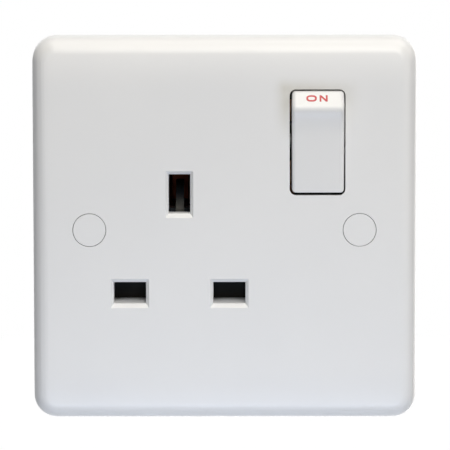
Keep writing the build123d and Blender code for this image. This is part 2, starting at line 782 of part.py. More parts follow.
with BuildPart() as rear_base:
    with BuildSketch(facing_plane(base_step_out)) as base_outline:
        with Locations(((base_left + base_lower_right) / 2, (base_bottom + base_top) / 2)):
            Rectangle(base_lower_right - base_left, base_top - base_bottom)
        with Locations(((base_switch_left + base_right) / 2, (base_switch_low + base_top) / 2)):
            Rectangle(base_right - base_switch_left, base_top - base_switch_low)
        fillet(base_outline.vertices(), radius=base_corner_radius)
    extrude(amount=base_front_out - base_step_out)
    chamfer(rear_base.faces().sort_by(Axis.Y)[-1].edges(), length=base_rear_chamfer)

    # Deeper housing round the terminals and the earth clip
    with BuildSketch(facing_plane(base_rear_out)) as housing_outline:
        with Locations(((base_left + housing_right) / 2, (housing_low + base_top) / 2)):
            Rectangle(housing_right - base_left, base_top - housing_low)
        fillet(housing_outline.vertices(), radius=base_corner_radius)
    extrude(amount=base_front_out - base_rear_out)
    chamfer(rear_base.faces().sort_by(Axis.Y)[-1].edges(), length=base_rear_chamfer)

    # Clearance round the fixing bosses
    with BuildSketch(facing_plane(base_rear_out)):
        with Locations(*fixing_points):
            Circle(fixing_boss_radius + cell_clearance)
    extrude(amount=base_front_out - base_rear_out, mode=Mode.SUBTRACT)

    # Cells of the line clips
    with BuildSketch(facing_plane(base_front_out)):
        with Locations(*line_points):
            Rectangle(line_cell_width, line_cell_height)
    extrude(amount=line_link_front_out - base_front_out, mode=Mode.SUBTRACT)

    # Cell of the earth clip, and the slot that the shutter's ramp runs in
    with BuildSketch(facing_plane(base_front_out)):
        with Locations(earth_point):
            Rectangle(earth_cell_width, earth_cell_height)
    extrude(amount=earth_link_front_out - base_front_out, mode=Mode.SUBTRACT)
    with BuildSketch(facing_plane(base_front_out)):
        ramp_slot_low = ramp_rib_low_z - shutter_travel - shutter_clearance
        ramp_slot_high = ramp_high_z + shutter_clearance
        with Locations((socket_x, (ramp_slot_low + ramp_slot_high) / 2)):
            Rectangle(ramp_rib_width + 2 * shutter_clearance, ramp_slot_high - ramp_slot_low)
    extrude(amount=ramp_back_out - shutter_clearance - base_front_out, mode=Mode.SUBTRACT)

    # Channels of the neutral, earth and live links
    with BuildSketch(facing_plane(base_front_out)):
        with Locations((neutral_terminal_x, (neutral_link_low_z + terminal_low_z) / 2)):
            neutral_channel_length = terminal_low_z - neutral_link_low_z + channel_clearance
            Rectangle(line_link_width + 2 * channel_clearance, neutral_channel_length)
        with Locations(live_link_point):
            live_channel_width = live_link_width + 2 * channel_clearance
            SlotCenterToCenter(live_link_run, live_channel_width, rotation=live_link_angle)
    extrude(amount=line_link_back_out - base_front_out, mode=Mode.SUBTRACT)
    with BuildSketch(facing_plane(base_front_out)):
        with Locations((earth_link_x, (earth_link_low_z + terminal_low_z) / 2)):
            earth_channel_length = terminal_low_z - earth_link_low_z + channel_clearance
            Rectangle(earth_link_width + 2 * channel_clearance, earth_channel_length)
    extrude(amount=earth_link_back_out - base_front_out, mode=Mode.SUBTRACT)

    # Switch cell, and the channel of the fixed contact
    with BuildSketch(facing_plane(base_front_out)):
        with Locations((switch_x, (switch_cell_low + switch_cell_top) / 2)):
            Rectangle(switch_cell_width, switch_cell_top - switch_cell_low)
    extrude(amount=line_link_back_out - base_front_out, mode=Mode.SUBTRACT)
    with BuildSketch(facing_plane(base_front_out)):
        with Locations(((fixed_contact_left + fixed_channel_right) / 2, fixed_tip_z)):
            Rectangle(fixed_channel_right - fixed_contact_left, fixed_channel_height)
    extrude(amount=fixed_contact_back_out - base_front_out, mode=Mode.SUBTRACT)
    with BuildSketch(facing_plane(base_front_out)):
        with Locations((fixed_contact_left + (link_thickness + link_bend_radius) / 2, fixed_tip_z)):
            Rectangle(link_thickness + link_bend_radius, fixed_channel_height)
    extrude(amount=fixed_tab_back_out - channel_clearance - base_front_out, mode=Mode.SUBTRACT)

    # Terminal pockets, open to the rear, with a notch for each wire
    with BuildSketch(facing_plane(base_rear_out)):
        with Locations(*terminal_points):
            Rectangle(terminal_width + 2 * channel_clearance, terminal_height + 2 * channel_clearance)
    extrude(amount=terminal_front_out - base_rear_out, mode=Mode.SUBTRACT)
    with BuildSketch(facing_plane(base_rear_out)):
        with Locations(*[(x, terminal_top_z + base_wall / 2) for x in terminal_xs]):
            Rectangle(wire_notch_width, 2 * base_wall)
    extrude(amount=terminal_front_out - wire_notch_floor - base_rear_out, mode=Mode.SUBTRACT)

    # Wells and holes of the base screws
    with BuildSketch(facing_plane(base_rear_out)):
        with Locations(*base_screw_points):
            Circle(base_screw_head_radius + screw_well_clearance)
    extrude(amount=base_front_out - base_screw_seat_depth - base_rear_out, mode=Mode.SUBTRACT)
    with BuildSketch(facing_plane(base_rear_out)):
        with Locations(*base_screw_points):
            Circle(base_screw_radius + screw_hole_clearance)
    extrude(amount=base_front_out - base_rear_out, mode=Mode.SUBTRACT)

    # Posts that close the rocker's bearings
    with BuildSketch(facing_plane(base_front_out)):
        post_x = (opening_width + collar_wall) / 2
        with Locations((switch_x - post_x, switch_z), (switch_x + post_x, switch_z)):
            Rectangle(collar_wall - 2 * bearing_post_gap, 2 * (bearing_radius - bearing_post_gap))
    extrude(amount=pivot_out - bearing_radius - base_front_out)

# Base screws, from behind into the posts of the plate
with BuildPart() as base_screws:
    base_seat_out = base_front_out - base_screw_seat_depth
    with BuildSketch(facing_plane(base_seat_out)):
        with Locations(*base_screw_points):
            Circle(base_screw_radius)
    extrude(amount=base_screw_seat_depth + base_screw_bite)
    with BuildSketch(facing_plane(base_seat_out)):
        with Locations(*base_screw_points):
            Circle(base_screw_head_radius)
    extrude(amount=-base_screw_head_height)
    with BuildSketch(facing_plane(base_seat_out - base_screw_head_height)):
        with Locations(*base_screw_points):
            Rectangle(2 * base_screw_head_radius, driver_slot_width)
    extrude(amount=driver_slot_depth, mode=Mode.SUBTRACT)

front_plate.part.label = "front_plate"
rear_base.part.label = "rear_base"
fixing_screws.part.label = "fixing_screws"
base_screws.part.label = "base_screws"
rocker.part.label = "rocker"
plunger.part.label = "plunger"
contact_lever.part.label = "contact_lever"
moving_contact_tip.part.label = "moving_contact_tip"
fixed_contact.part.label = "fixed_contact"
fixed_contact_tip.part.label = "fixed_contact_tip"
live_link.part.label = "live_link"
terminal_screws.part.label = "terminal_screws"
shutter.part.label = "shutter"

live_clip_plane = side_plane(live_x, 0, line_z)
neutral_clip_plane = side_plane(neutral_x, 0, line_z)
earth_clip_plane = Plane(origin=(socket_x, 0, earth_z), x_dir=(0, -1, 0), z_dir=(0, 0, 1))
line_web_out = line_link_front_out + clip_thickness / 2
earth_web_out = earth_link_front_out + clip_thickness / 2
plunger_spring_plane = tail_plane.offset(plunger_spring_seat)
plunger_spring_radius = plunger_radius - 2 * plunger_wire_radius
shutter_spring_plane = upward_plane(socket_x, spring_axis_out, spring_seat_z)
pieces = [
    front_plate.part,
    rear_base.part,
    screw_cap("screw_cap_left", fixing_points[0]),
    screw_cap("screw_cap_right", fixing_points[1]),
    fixing_screws.part,
    base_screws.part,
    rocker.part,
    coil_spring(
        "plunger_spring",
        plunger_spring_plane,
        plunger_seat - plunger_spring_seat,
        plunger_spring_radius,
        plunger_wire_radius,
        plunger_spring_pitch,
    ),
    plunger.part,
    contact_lever.part,
    moving_contact_tip.part,
    fixed_contact.part,
    fixed_contact_tip.part,
    live_link.part,
    terminal_link(
        "neutral_link",
        neutral_terminal_x,
        line_link_width,
        line_link_front_out,
        neutral_link_low_z,
    ),
    terminal_link("earth_link", earth_link_x, earth_link_width, earth_link_front_out, earth_link_low_z),
    pin_clip("live_contact", live_clip_plane, line_pin_thickness, line_web_out, line_clip_width),
    pin_clip("neutral_contact", neutral_clip_plane, line_pin_thickness, line_web_out, line_clip_width),
    pin_clip("earth_contact", earth_clip_plane, earth_pin_thickness, earth_web_out, earth_clip_width),
    terminal_block("live_terminal", terminal_points[2]),
    terminal_block("neutral_terminal", terminal_points[0]),
    terminal_block("earth_terminal", terminal_points[1]),
    terminal_screws.part,
    shutter.part,
    coil_spring(
        "shutter_spring",
        shutter_spring_plane,
        spring_length,
        spring_mean_radius,
        spring_wire_radius,
        spring_pitch,
    ),
]

os.makedirs("parts", exist_ok=True)
for piece in pieces:
    export_step(piece, f"parts/{piece.label}.step")
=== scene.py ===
import json
import math

import bmesh
import bpy
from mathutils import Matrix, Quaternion, Vector


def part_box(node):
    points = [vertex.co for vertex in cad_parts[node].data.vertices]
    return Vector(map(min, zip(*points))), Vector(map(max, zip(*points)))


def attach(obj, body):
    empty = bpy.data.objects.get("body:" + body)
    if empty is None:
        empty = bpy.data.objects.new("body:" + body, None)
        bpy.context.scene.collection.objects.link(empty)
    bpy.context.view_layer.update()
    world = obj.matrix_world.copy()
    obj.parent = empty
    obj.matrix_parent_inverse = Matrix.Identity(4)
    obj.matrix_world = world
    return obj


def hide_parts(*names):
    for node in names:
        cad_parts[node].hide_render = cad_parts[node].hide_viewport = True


# Looks of the switched wall socket: camera, light, materials, the plate's edge, lettering and threads.
# Lengths are in metres, in the model's frame: +X right, +Y into the wall, +Z up.
MM = 0.001

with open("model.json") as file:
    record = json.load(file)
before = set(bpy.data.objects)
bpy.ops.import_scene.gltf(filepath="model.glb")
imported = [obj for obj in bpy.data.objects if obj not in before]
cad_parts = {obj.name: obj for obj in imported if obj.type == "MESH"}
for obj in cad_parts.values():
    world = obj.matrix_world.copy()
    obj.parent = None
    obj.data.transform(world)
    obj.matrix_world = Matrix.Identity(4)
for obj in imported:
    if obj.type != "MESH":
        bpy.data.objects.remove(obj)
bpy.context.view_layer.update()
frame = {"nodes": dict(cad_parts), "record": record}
nodes = frame["nodes"]
record = frame["record"]
scene = bpy.context.scene

# Camera, as in the photograph
PHOTO_WIDTH_PX = 450
FOCAL_PX = 3995
SENSOR_WIDTH = 36.0
CAMERA_TARGET = Vector((0.075, 0.0, 0.112)) * MM
CAMERA_DISTANCE = 0.900
CAMERA_ELEVATION = math.radians(6.45)
CAMERA_AZIMUTH = math.radians(0.31)
CAMERA_ROLL = math.radians(-0.10)
CAMERA_CLIP_START = 0.01

# Colours of the light
WARM = (1.0, 0.965, 0.905)
COOL = (0.714, 0.809, 1.0)
PALE = (1.0, 0.98, 0.95)

# Softboxes: place, width, height, power in watts and colour
SOFTBOXES = {
    "top_light": ((0.11, 0.04, 0.60), 0.40, 0.60, 1.55, WARM),
    "main_light": ((0.12, -0.75, 0.45), 0.40, 0.50, 1.88, WARM),
    "high_light": ((0.10, -0.45, 0.60), 0.40, 0.50, 3.17, WARM),
    "low_light": ((0.0, -0.11, -0.12), 0.16, 0.06, 0.098, COOL),
    "right_light": ((0.60, -0.45, 0.10), 0.30, 0.30, 0.50, WARM),
    "back_light": ((0.25, 0.70, -0.25), 1.00, 0.70, 3.0, PALE),
}

# Surroundings and floor
AMBIENT_STRENGTH = 0.055
FLOOR_DROP = 0.45
FLOOR_SIZE = 6.0
FLOOR_COLOUR = (0.9, 0.9, 0.9)
FLOOR_ROUGHNESS = 0.9
FLOOR_GLOW = 0.9

# Plate's edge as photographed: a tighter round than the solid's, and a face bowed towards top and bottom
SOLID_EDGE_RADIUS = 4.6 * MM
EDGE_RADIUS = 3.5 * MM
BOW_START = 31.5 * MM
BOW_STEP = 0.5 * MM
BOW_ROWS = 23
BOW_FALL = 10.9
RIM_WIDTH = 5.5 * MM
SKIN_TOLERANCE = 0.01 * MM
SKIN_FACING = 0.3
SMOOTH_ANGLE = math.radians(30)

# White mouldings
WHITE_ROUGHNESS = (0.28, 0.30)
FLOW_SIZE = 26.0 * MM
POLISH_SIZE = 7.0 * MM
SINK_SIZE = 14.0 * MM
SINK_DEPTH = 0.004 * MM
GRAIN_SIZE = 0.32 * MM
GRAIN_DEPTH = 0.0006 * MM
WHITE_EDGE = 0.12 * MM

# Painted shade in the gaps and holes of the white mouldings
PAINTED_SHADE_REACH = 5.0 * MM
PAINTED_SHADE_COLOUR = (0.16, 0.155, 0.145)
PAINTED_SHADE_START = 0.14
PAINTED_SHADE_END = 0.46

# Painted shadow of the switch on the plate, round the upper half of the switch
SWITCH_SHADOW_REACH = 3.2 * MM
SWITCH_SHADOW_COLOUR = (0.655, 0.640, 0.590)
SWITCH_SHADOW_RISE = 9.0 * MM
SWITCH_SHADOW_RIGHT_SHARE = 0.3
SWITCH_SHADOW_PATCH_SIZE = 2.5 * MM
SWITCH_SHADOW_PATCH_SHARE = 0.8

# Dull skin of the coloured mouldings
DULL_PATCH_SIZE = 3.0 * MM
DULL_PATCH_ROUGHNESS = 0.15
DULL_GRAIN_SIZE = 0.25 * MM
DULL_GRAIN_DEPTH = 0.004 * MM
DULL_EDGE = 0.10 * MM

# Painted shade deep in the dark base
DEEP_REACH = 14.0 * MM
DEEP_SHADE_COLOUR = (0.008, 0.002, 0.001)
DEEP_START = 0.15
DEEP_END = 0.60

# Shutter's gloss, and the painted light on the foot of its ramp
SHUTTER_GLOSS = 0.15
RAMP_LENGTH = 8.5 * MM
RAMP_HALF_WIDTH = 0.92 * MM
RAMP_BORDER = 1.1
RAMP_SHADE = 0.66
FOOT_LIGHT_WANDER = 0.3 * MM
FOOT_LIGHT_PATCH_SIZE = 0.9 * MM

# Painted shade on the shutter's wings behind the lower apertures, darker towards their foot
WING_TOP = -12.4 * MM
WING_FOOT = -16.0 * MM
WING_FOOT_SHADE = (0.004, 0.003, 0.001)

# Plated steel
PLATING_SIZE = 1.4 * MM
PLATING_POLISH_SIZE = 0.5 * MM
PLATING_SMOOTHER = 0.08
PLATING_ROUGHER = 0.12
TOOL_MARK_SIZE = 0.09 * MM
TOOL_MARK_STRETCH = (6, 1, 6)
TOOL_MARK_DEPTH = 0.003 * MM
STEEL_EDGE = 0.06 * MM

# Rolled strip and drawn bar
TARNISH_SIZE = 2.2 * MM
STRIP_POLISH_SIZE = 1.1 * MM
STRIP_SMOOTHER = 0.06
STRIP_ROUGHER = 0.14
DRAWN_LINE_SIZE = 0.07 * MM
DRAWN_LINE_DEPTH = 0.003 * MM
DRAWN_ALONG_Y = (1, 14, 1)
DRAWN_ALONG_Z = (1, 1, 14)
STRIP_EDGE = 0.08 * MM

# Printed ink
INK_PATCH_SIZE = 0.35 * MM
INK_POLISH_SIZE = 0.20 * MM
INK_ROUGHNESS = (0.38, 0.52)
INK_GRAIN_SIZE = 0.12 * MM
INK_GRAIN_DEPTH = 0.002 * MM

# Quality of the shaded gaps and softened edges
PAINTED_SHADE_SAMPLES = 12
EDGE_SAMPLES = 6

# Lettering on the switch
LETTER_HEIGHT = 1.66 * MM
LETTER_STROKE = 0.41 * MM
LETTER_GAP = 0.60 * MM
O_WIDTH = 2.34 * MM
N_WIDTH = 1.80 * MM
N_DIAGONAL_STROKES = 1.5
O_SQUARENESS = 2.6
O_STEPS = 72
PRINT_THICKNESS = 0.02 * MM
PRINT_SINK = 0.01 * MM
LETTER_RISE = 0.09 * MM
LETTER_SHIFT = -0.26 * MM
WELD_DISTANCE = 0.001 * MM
FACET_TOLERANCE = 0.001 * MM
FACET_SLANT = 0.4

# Threads of the fixing screws
THREAD_PITCH = 0.6 * MM
THREAD_DEPTH = 0.32 * MM
THREAD_CREST = 0.15
THREAD_ROOT = 0.20
THREAD_ROWS_PER_PITCH = 8
THREAD_SEGMENTS = 36


def add_camera():
    """Camera at the photograph's viewpoint."""
    data = bpy.data.cameras.new("camera")
    data.sensor_width = SENSOR_WIDTH
    data.lens = SENSOR_WIDTH * FOCAL_PX / PHOTO_WIDTH_PX
    data.clip_start = CAMERA_CLIP_START
    camera = bpy.data.objects.new("camera", data)
    scene.collection.objects.link(camera)
    back = Vector((
        math.sin(CAMERA_AZIMUTH) * math.cos(CAMERA_ELEVATION),
        -math.cos(CAMERA_AZIMUTH) * math.cos(CAMERA_ELEVATION),
        math.sin(CAMERA_ELEVATION),
    ))
    camera.location = CAMERA_TARGET + back * CAMERA_DISTANCE
    camera.rotation_mode = "QUATERNION"
    roll = Quaternion((0, 0, 1), CAMERA_ROLL)
    camera.rotation_quaternion = (-back).to_track_quat("-Z", "Y") @ roll
    scene.camera = camera


def add_softbox(name, place, width, height, power, colour):
    """Rectangular lamp that faces the middle of the object."""
    data = bpy.data.lights.new(name, "AREA")
    data.shape = "RECTANGLE"
    data.size = width
    data.size_y = height
    data.energy = power
    data.color = colour
    lamp = bpy.data.objects.new(name, data)
    lamp.location = place
    lamp.rotation_mode = "QUATERNION"
    lamp.rotation_quaternion = (-Vector(place)).to_track_quat("-Z", "Y")
    lamp.visible_camera = False
    scene.collection.objects.link(lamp)


def seen_directly(tree):
    """Socket that is 1 for camera, mirror and glass rays, and 0 for the rays that light a surface."""
    path = tree.nodes.new("ShaderNodeLightPath")
    mirror = tree.nodes.new("ShaderNodeMath")
    mirror.operation = "MAXIMUM"
    tree.links.new(path.outputs["Is Camera Ray"], mirror.inputs[0])
    tree.links.new(path.outputs["Is Glossy Ray"], mirror.inputs[1])
    either = tree.nodes.new("ShaderNodeMath")
    either.operation = "MAXIMUM"
    tree.links.new(mirror.outputs[0], either.inputs[0])
    tree.links.new(path.outputs["Is Transmission Ray"], either.inputs[1])
    return either.outputs[0]


def add_world():
    """Plain white surroundings to look at, and a low even light from them."""
    world = bpy.data.worlds.new("studio")
    scene.world = world
    world.use_nodes = True
    tree = world.node_tree
    light = tree.nodes["Background"]
    light.inputs["Color"].default_value = (*COOL, 1)
    light.inputs["Strength"].default_value = AMBIENT_STRENGTH
    white = tree.nodes.new("ShaderNodeBackground")
    white.inputs["Color"].default_value = (1, 1, 1, 1)
    mix = tree.nodes.new("ShaderNodeMixShader")
    tree.links.new(seen_directly(tree), mix.inputs["Fac"])
    tree.links.new(light.outputs[0], mix.inputs[1])
    tree.links.new(white.outputs[0], mix.inputs[2])
    tree.links.new(mix.outputs[0], tree.nodes["World Output"].inputs["Surface"])


def add_floor():
    """Plain pale floor below the socket, which looks white where it is seen directly or mirrored."""
    mesh = bpy.data.meshes.new("floor")
    half = FLOOR_SIZE / 2
    corners = [(-half, -half, 0), (half, -half, 0), (half, half, 0), (-half, half, 0)]
    mesh.from_pydata(corners, [], [(0, 1, 2, 3)])
    floor = bpy.data.objects.new("floor", mesh)
    floor.location.z = -FLOOR_DROP
    scene.collection.objects.link(floor)
    material = bpy.data.materials.new("floor")
    material.use_nodes = True
    tree = material.node_tree
    paint = tree.nodes["Principled BSDF"]
    paint.inputs["Base Color"].default_value = (*FLOOR_COLOUR, 1)
    paint.inputs["Roughness"].default_value = FLOOR_ROUGHNESS
    paint.inputs["Specular IOR Level"].default_value = 0.0
    glow = tree.nodes.new("ShaderNodeEmission")
    glow.inputs["Strength"].default_value = 1 / FLOOR_GLOW
    share = tree.nodes.new("ShaderNodeMath")
    share.operation = "MULTIPLY"
    share.inputs[1].default_value = FLOOR_GLOW
    tree.links.new(seen_directly(tree), share.inputs[0])
    mix = tree.nodes.new("ShaderNodeMixShader")
    tree.links.new(share.outputs[0], mix.inputs["Fac"])
    tree.links.new(paint.outputs[0], mix.inputs[1])
    tree.links.new(glow.outputs[0], mix.inputs[2])
    tree.links.new(mix.outputs[0], tree.nodes["Material Output"].inputs["Surface"])
    mesh.materials.append(material)


class Finish:
    """Material of one shader, with short ways to add procedural detail in the piece's own coordinates."""

    def __init__(self, name, metallic=0.0, gloss=0.5):
        self.material = bpy.data.materials.new(name)
        self.material.use_nodes = True
        self.tree = self.material.node_tree
        self.shader = self.tree.nodes["Principled BSDF"]
        self.shader.inputs["Metallic"].default_value = metallic
        self.shader.inputs["Specular IOR Level"].default_value = gloss
        self.place = self.tree.nodes.new("ShaderNodeTexCoord").outputs["Object"]

    def node(self, kind, **values):
        """New shader node with these settings."""
        made = self.tree.nodes.new(kind)
        for key, value in values.items():
            setattr(made, key, value)
        return made

    def noise(self, size, detail=2.0, stretch=(1, 1, 1)):
        """Noise whose features are about this size, in metres, drawn out along the axes by stretch."""
        mapping = self.node("ShaderNodeMapping")
        mapping.inputs["Scale"].default_value = [1 / s for s in stretch]
        self.tree.links.new(self.place, mapping.inputs["Vector"])
        noise = self.node("ShaderNodeTexNoise")
        noise.inputs["Scale"].default_value = 1 / size
        noise.inputs["Detail"].default_value = detail
        self.tree.links.new(mapping.outputs[0], noise.inputs["Vector"])
        return noise.outputs["Fac"]

    def span(self, value, low, high, start=0.3, end=0.7):
        """A value between start and end mapped to a range of numbers. The usual ends are those of noise."""
        mapped = self.node("ShaderNodeMapRange")
        mapped.inputs["From Min"].default_value = start
        mapped.inputs["From Max"].default_value = end
        mapped.inputs["To Min"].default_value = low
        mapped.inputs["To Max"].default_value = high
        self.tree.links.new(value, mapped.inputs["Value"])
        return mapped.outputs["Result"]

    def colour(self, value, *stops):
        """Base colour from a value by (position, colour) stops."""
        ramp = self.node("ShaderNodeValToRGB")
        elements = ramp.color_ramp.elements
        while len(elements) < len(stops):
            elements.new(0.5)
        for element, (position, colour) in zip(elements, stops):
            element.position = position
            element.color = (*colour, 1)
        self.tree.links.new(value, ramp.inputs["Fac"])
        self.tree.links.new(ramp.outputs["Color"], self.shader.inputs["Base Color"])

    def axis(self, name):
        """One of the piece's own coordinates: X, Y or Z."""
        axes = self.node("ShaderNodeSeparateXYZ")
        self.tree.links.new(self.place, axes.inputs["Vector"])
        return axes.outputs[name]

    def maths(self, operation, first, second):
        """Result of a math node, whose second input is a socket or a number."""
        made = self.node("ShaderNodeMath", operation=operation)
        self.tree.links.new(first, made.inputs[0])
        if isinstance(second, bpy.types.NodeSocket):
            self.tree.links.new(second, made.inputs[1])
        else:
            made.inputs[1].default_value = second
        return made.outputs[0]

    def tint(self, colour, share):
        """Mixes a share of another colour into the base colour."""
        clean = self.shader.inputs["Base Color"].links[0].from_socket
        mix = self.node("ShaderNodeMix", data_type="RGBA")
        ends = {socket.identifier: socket for socket in [*mix.inputs, *mix.outputs]}
        ends["B_Color"].default_value = (*colour, 1)
        self.tree.links.new(share, ends["Factor_Float"])
        self.tree.links.new(clean, ends["A_Color"])
        self.tree.links.new(ends["Result_Color"], self.shader.inputs["Base Color"])

    def paint_recess_shade(self, reach, dark, start, end):
        """Paints shade into the base colour in gaps and holes, where most of what lies within this reach is
        solid.
        """
        hollow = self.node("ShaderNodeAmbientOcclusion", samples=PAINTED_SHADE_SAMPLES)
        hollow.inputs["Distance"].default_value = reach
        self.tint(dark, self.span(hollow.outputs["AO"], 1, 0, start, end))

    def outside(self, axis, low, high):
        """How far a coordinate lies outside a range."""
        below = self.maths("MULTIPLY", self.maths("SUBTRACT", self.axis(axis), low), -1.0)
        above = self.maths("SUBTRACT", self.axis(axis), high)
        return self.maths("MAXIMUM", self.maths("MAXIMUM", below, above), 0.0)

    def paint_switch_shadow(self, low, high):
        """Paints a shadow into the base colour round the upper half of a box seen from the front, more on
        its left.
        """
        aside = self.outside("X", low.x, high.x)
        over = self.outside("Z", low.z, high.z)
        away = self.maths("ADD", self.maths("MULTIPLY", aside, aside), self.maths("MULTIPLY", over, over))
        near = self.span(self.maths("POWER", away, 0.5), 1, 0, 0.0, SWITCH_SHADOW_REACH)
        middle = (low.z + high.z) / 2
        # The first share is the nearness itself, so that the painted shadow fades with its square.
        shares = [
            near,
            self.span(self.axis("Z"), 0, 1, middle, middle + SWITCH_SHADOW_RISE),
            self.span(self.axis("X"), 1, SWITCH_SHADOW_RIGHT_SHARE, low.x, high.x),
            self.span(self.noise(SWITCH_SHADOW_PATCH_SIZE), SWITCH_SHADOW_PATCH_SHARE, 1.0),
        ]
        for share in shares:
            near = self.maths("MULTIPLY", near, share)
        self.tint(SWITCH_SHADOW_COLOUR, near)

    def roughness(self, value):
        """Roughness from a value."""
        self.tree.links.new(value, self.shader.inputs["Roughness"])

    def relief(self, *layers, edge=0.0):
        """Bump layers (value, height in metres) over edges that are softened by a small radius."""
        normal = None
        if edge:
            soft = self.node("ShaderNodeBevel", samples=EDGE_SAMPLES)
            soft.inputs["Radius"].default_value = edge
            normal = soft.outputs["Normal"]
        for value, height in layers:
            bump = self.node("ShaderNodeBump")
            bump.inputs["Strength"].default_value = 1.0
            bump.inputs["Distance"].default_value = height
            self.tree.links.new(value, bump.inputs["Height"])
            if normal:
                self.tree.links.new(normal, bump.inputs["Normal"])
            normal = bump.outputs["Normal"]
        self.tree.links.new(normal, self.shader.inputs["Normal"])

    def dull_skin(self, rough):
        """Patchy roughness and a fine grain, as on mouldings that aren't polished."""
        patches = self.noise(DULL_PATCH_SIZE, detail=3.0)
        self.roughness(self.span(patches, rough, rough + DULL_PATCH_ROUGHNESS))
        self.relief((self.noise(DULL_GRAIN_SIZE, detail=3.0), DULL_GRAIN_DEPTH), edge=DULL_EDGE)


def white_moulding(name, light, shade, shadow_caster=None):
    """White urea plastic: hardly any flow marks, a polished face and a trace of mould texture."""
    finish = Finish(name)
    finish.colour(finish.noise(FLOW_SIZE, detail=3.0), (0.35, shade), (0.65, light))
    # Painted shadow of the switch on the plate, round its upper half.
    if shadow_caster:
        finish.paint_switch_shadow(*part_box(shadow_caster))
    # Painted shade in the gaps and holes, darker where most nearby is solid.
    finish.paint_recess_shade(PAINTED_SHADE_REACH, PAINTED_SHADE_COLOUR, PAINTED_SHADE_START, PAINTED_SHADE_END)
    finish.roughness(finish.span(finish.noise(POLISH_SIZE, detail=3.0), *WHITE_ROUGHNESS))
    sink = finish.noise(SINK_SIZE, detail=1.0)
    grain = finish.noise(GRAIN_SIZE)
    finish.relief((sink, SINK_DEPTH), (grain, GRAIN_DEPTH), edge=WHITE_EDGE)
    return finish.material


def dull_moulding(name, dark, light, patch_size, rough, gloss=0.5, deep=False):
    """Coloured moulding with flow marks, fine specks and a dull skin."""
    finish = Finish(name, gloss=gloss)
    finish.colour(finish.noise(patch_size, detail=6.0), (0.3, dark), (0.72, light))
    if deep:
        # Painted shade deep in the base's hollows.
        finish.paint_recess_shade(DEEP_REACH, DEEP_SHADE_COLOUR, DEEP_START, DEEP_END)
    finish.dull_skin(rough)
    return finish.material


def shutter_moulding(name, dark, shade, painted_light, rough):
    """Dark moulding with painted light low on its ramp, fading to painted shade at the ramp's top."""
    finish = Finish(name, gloss=SHUTTER_GLOSS)
    low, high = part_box("shutter")
    # Painted light low on the ramp, fading to painted shade towards its top.
    wander = finish.span(finish.noise(FOOT_LIGHT_PATCH_SIZE, detail=3.0), -FOOT_LIGHT_WANDER, FOOT_LIGHT_WANDER)
    height = finish.maths("ADD", finish.axis("Z"), wander)
    along = finish.span(height, 0, 1, high.z - RAMP_LENGTH, high.z)
    offset = finish.maths("SUBTRACT", finish.axis("X"), (low.x + high.x) / 2)
    aside = finish.maths("ABSOLUTE", offset, 0.0)
    beside = finish.span(aside, 0, RAMP_SHADE, RAMP_HALF_WIDTH, RAMP_BORDER * RAMP_HALF_WIDTH)
    ramp_lighting = finish.maths("MAXIMUM", along, beside)
    finish.colour(ramp_lighting, (0.0, shade), (0.30, painted_light), (RAMP_SHADE, shade), (0.92, dark))
    # Painted shade on the wings, darker towards their foot.
    finish.tint(WING_FOOT_SHADE, finish.span(finish.axis("Z"), 1, 0, WING_FOOT, WING_TOP))
    finish.dull_skin(rough)
    return finish.material


def plated_steel(name, bright, dull, rough):
    """Plated steel with cloudy plating and fine tool marks."""
    finish = Finish(name, metallic=1.0)
    finish.colour(finish.noise(PLATING_SIZE, detail=5.0), (0.3, dull), (0.7, bright))
    polish = finish.noise(PLATING_POLISH_SIZE, detail=4.0)
    finish.roughness(finish.span(polish, rough - PLATING_SMOOTHER, rough + PLATING_ROUGHER))
    marks = finish.noise(TOOL_MARK_SIZE, stretch=TOOL_MARK_STRETCH)
    finish.relief((marks, TOOL_MARK_DEPTH), edge=STEEL_EDGE)
    return finish.material


def rolled_strip(name, bright, dull, rough, stretch):
    """Copper alloy strip or bar: drawn lines along it, and a light tarnish in patches."""
    finish = Finish(name, metallic=1.0)
    finish.colour(finish.noise(TARNISH_SIZE, detail=6.0), (0.28, dull), (0.62, bright))
    polish = finish.noise(STRIP_POLISH_SIZE, detail=4.0)
    finish.roughness(finish.span(polish, rough - STRIP_SMOOTHER, rough + STRIP_ROUGHER))
    lines = finish.noise(DRAWN_LINE_SIZE, stretch=stretch)
    finish.relief((lines, DRAWN_LINE_DEPTH), edge=STRIP_EDGE)
    return finish.material


def printed_ink(name, colour, thin):
    """Pad-printed ink, a little thinner in places."""
    finish = Finish(name)
    finish.colour(finish.noise(INK_PATCH_SIZE, detail=3.0), (0.3, thin), (0.6, colour))
    finish.roughness(finish.span(finish.noise(INK_POLISH_SIZE), *INK_ROUGHNESS))
    finish.relief((finish.noise(INK_GRAIN_SIZE), INK_GRAIN_DEPTH))
    return finish.material


